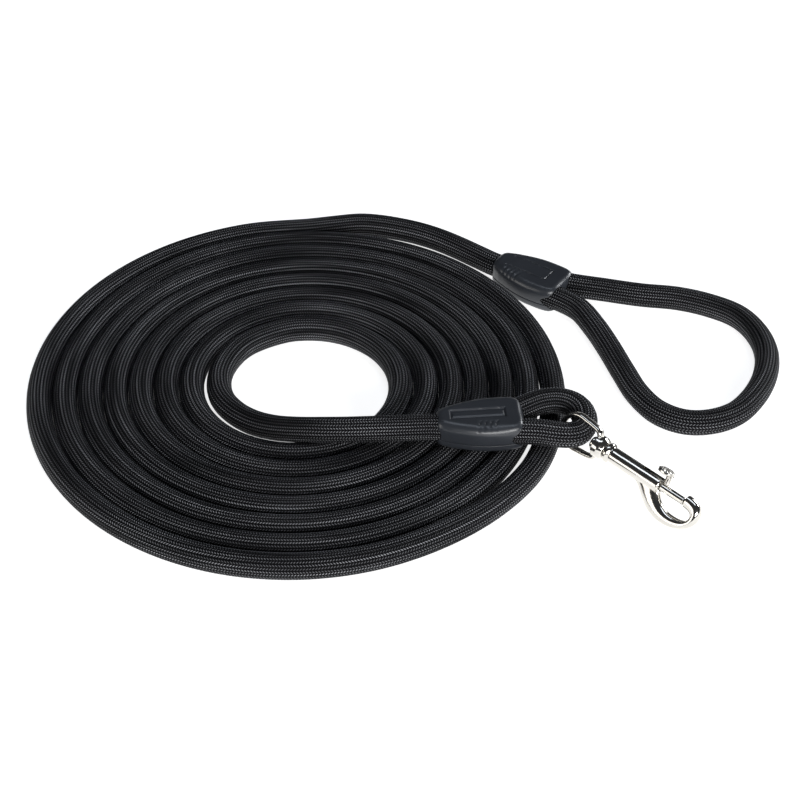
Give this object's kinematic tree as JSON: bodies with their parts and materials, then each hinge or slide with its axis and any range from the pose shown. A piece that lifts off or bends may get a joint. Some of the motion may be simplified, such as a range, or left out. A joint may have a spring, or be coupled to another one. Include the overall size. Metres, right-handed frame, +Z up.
{
  "type": "rope training leash",
  "caption": "Long braided rope leash lying in a flat coil, with a hand loop and a swivel bolt snap held in moulded rope clamps.",
  "frame": {"origin": "on the surface the leash lies on, under the middle of the box round the two clamps and the snap", "axes": "+Z up; +Y from the snap's hook towards the hand loop's clamp; -X towards the coil"},
  "size_m": [0.3818, 0.2819, 0.028],
  "materials": {
    "rope": "tight black braid with a faint blue-grey sheen",
    "clamp_shell": "satin charcoal moulding",
    "ferrule": "crimped steel band",
    "snap_metal": "bright nickel plate",
    "spring_wire": "plain spring wire"
  },
  "bodies": {
    "leash": {"rope_coil": "rope", "rope_handle_end": "rope", "rope_snap_end": "rope", "handle_clamp_upper": "clamp_shell", "handle_clamp_lower": "clamp_shell", "handle_ferrule": "ferrule", "snap_clamp_upper": "clamp_shell", "snap_clamp_lower": "clamp_shell", "snap_ferrule": "ferrule"},
    "eye": {"swivel_eye": "snap_metal"},
    "snap": {"snap_body": "snap_metal", "swivel_rivet": "snap_metal", "bolt_spring": "spring_wire"},
    "bolt": {"bolt": "snap_metal", "thumb_stud": "snap_metal"}
  },
  "joints": [
    {"name": "eye_pivot", "type": "hinge", "parent": "leash", "child": "eye", "pos_m": [0.00737, -0.048, 0.0166], "axis": [-0.7071, -0.7071, 0], "range_deg": [-90, 135]},
    {"name": "snap_swivel", "type": "hinge", "parent": "eye", "child": "snap", "pos_m": [0.0203, -0.06093, 0.01593], "axis": [0.7066, -0.7066, -0.0366], "continuous": true},
    {"name": "bolt_slide", "type": "slide", "parent": "snap", "child": "bolt", "axis": [-0.7066, 0.7066, 0.0366], "range_m": [0, 0.012], "stiffness_N_per_m": 300, "springref_m": -0.008, "deforming": ["bolt_spring"]}
  ]
}
